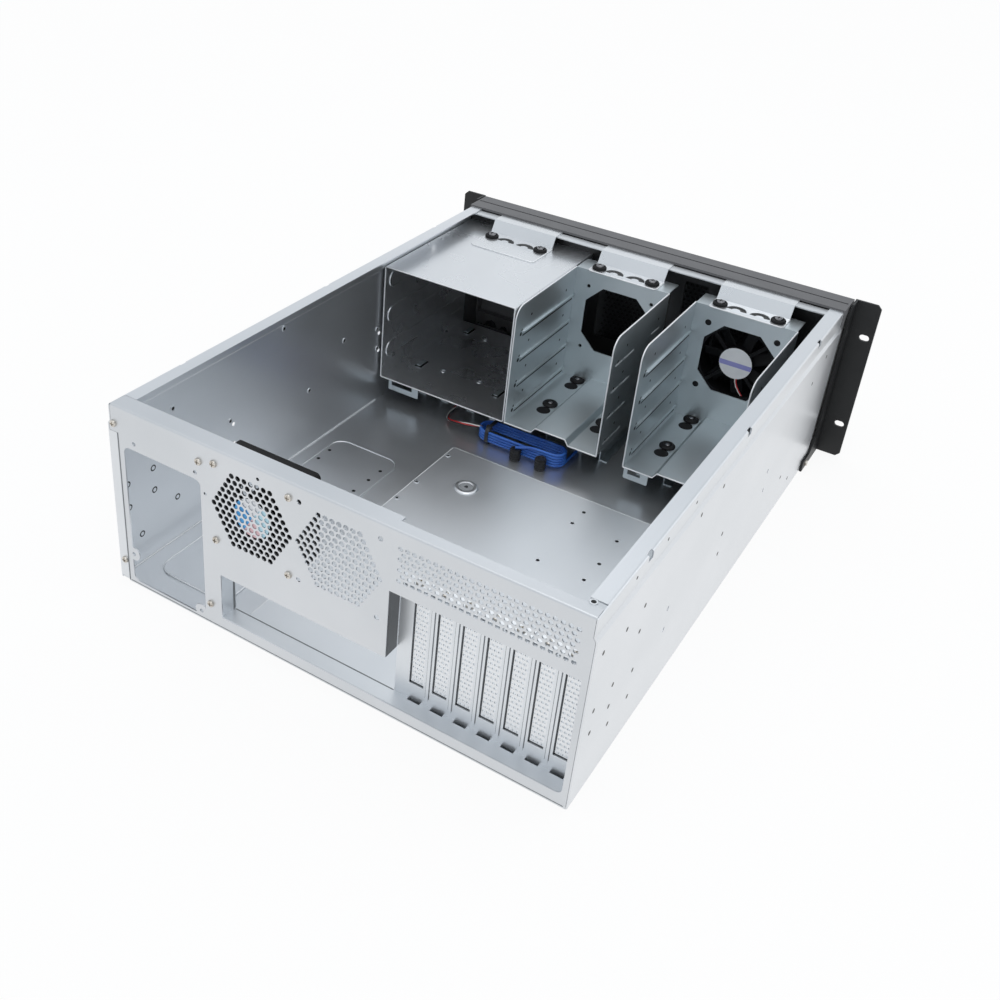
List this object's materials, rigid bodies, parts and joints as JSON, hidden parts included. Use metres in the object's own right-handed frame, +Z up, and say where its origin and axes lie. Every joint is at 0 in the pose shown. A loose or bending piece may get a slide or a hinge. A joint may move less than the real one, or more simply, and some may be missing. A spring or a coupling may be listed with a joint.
{
  "type": "rackmount server case",
  "caption": "Open four-unit rack case of folded zinc sheet: vented rear wall, recessed card slots, board tray, drive cages, fans, black bezel and rack ears.",
  "frame": {"origin": "middle of the object's base, on the surface that it stands on", "axes": "+Z up, front and rack ears towards -Y, rear wall towards +Y, power supply side at +X"},
  "size_m": [0.4826, 0.6, 0.177],
  "materials": {
    "zinc_sheet": "zinc-coated sheet, satin",
    "bright_sheet": "zinc-coated sheet, brighter and smoother",
    "screw_steel": "plated steel",
    "black_rubber": "moulded rubber",
    "black_paint": "fine satin black powder coat",
    "bezel_plastic": "fine textured black",
    "button_plastic": "satin",
    "lamp_lens": "tinted lens",
    "socket_metal": "plated shell",
    "fan_plastic": "moulded, slightly glossy",
    "blue_lead": "soft blue sheath",
    "wire_lead": "coloured wire sheath",
    "plug_plastic": "moulded black",
    "white_plastic": "moulded white"
  },
  "bodies": {
    "case": {"bay_cage": "bright_sheet", "bay_cover_1": "bezel_plastic", "bay_cover_2": "bezel_plastic", "bay_cover_3": "bezel_plastic", "bezel": "bezel_plastic", "board_tray": "zinc_sheet", "cage_grommets": "black_rubber", "cage_stand_1a": "bright_sheet", "cage_stand_1b": "bright_sheet", "cage_stand_2a": "bright_sheet", "cage_stand_2b": "bright_sheet", "cage_stand_3a": "bright_sheet", "cage_stand_3b": "bright_sheet", "chassis_tub": "zinc_sheet", "drive_cage_centre": "bright_sheet", "drive_cage_right": "bright_sheet", "ear_screws": "screw_steel", "fan_lead": "wire_lead", "fan_plug": "white_plastic", "front_fan_frame": "fan_plastic", "front_fan_pins": "black_rubber", "front_lamps": "lamp_lens", "front_sockets": "socket_metal", "front_wall": "zinc_sheet", "hanger_centre": "bright_sheet", "hanger_left": "bright_sheet", "hanger_right": "bright_sheet", "hanger_screws": "screw_steel", "hanger_washers": "black_rubber", "lead_hank": "blue_lead", "lead_plugs": "plug_plastic", "lead_tie": "plug_plastic", "panel_lead": "blue_lead", "rack_ear_left": "black_paint", "rack_ear_right": "black_paint", "rear_fan_frame": "fan_plastic", "rear_fan_screws": "screw_steel", "rear_panel": "zinc_sheet", "rear_panel_screws": "screw_steel", "slot_cover_1": "bright_sheet", "slot_cover_2": "bright_sheet", "slot_cover_3": "bright_sheet", "slot_cover_4": "bright_sheet", "slot_cover_5": "bright_sheet", "slot_cover_6": "bright_sheet", "slot_cover_7": "bright_sheet", "slot_cover_screws": "screw_steel", "slot_panel": "zinc_sheet", "switch_holder": "bezel_plastic", "switch_lead": "wire_lead"},
    "front_fan": {"front_fan_rotor": "fan_plastic"},
    "rear_fan": {"rear_fan_rotor": "fan_plastic"},
    "power": {"power_button": "button_plastic"},
    "reset": {"reset_button": "button_plastic"}
  },
  "joints": [
    {"name": "front_fan_spin", "type": "hinge", "parent": "case", "child": "front_fan", "pos_m": [-0.1309, -0.233, 0.1075], "axis": [0, 1, 0], "continuous": true},
    {"name": "rear_fan_spin", "type": "hinge", "parent": "case", "child": "rear_fan", "pos_m": [0.069, 0.285, 0.126], "axis": [0, 1, 0], "continuous": true},
    {"name": "power_press", "type": "slide", "parent": "case", "child": "power", "axis": [0, 1, 0], "range_m": [0, 0.002], "stiffness_N_per_m": 400},
    {"name": "reset_press", "type": "slide", "parent": "case", "child": "reset", "axis": [0, 1, 0], "range_m": [0, 0.002], "stiffness_N_per_m": 400}
  ]
}
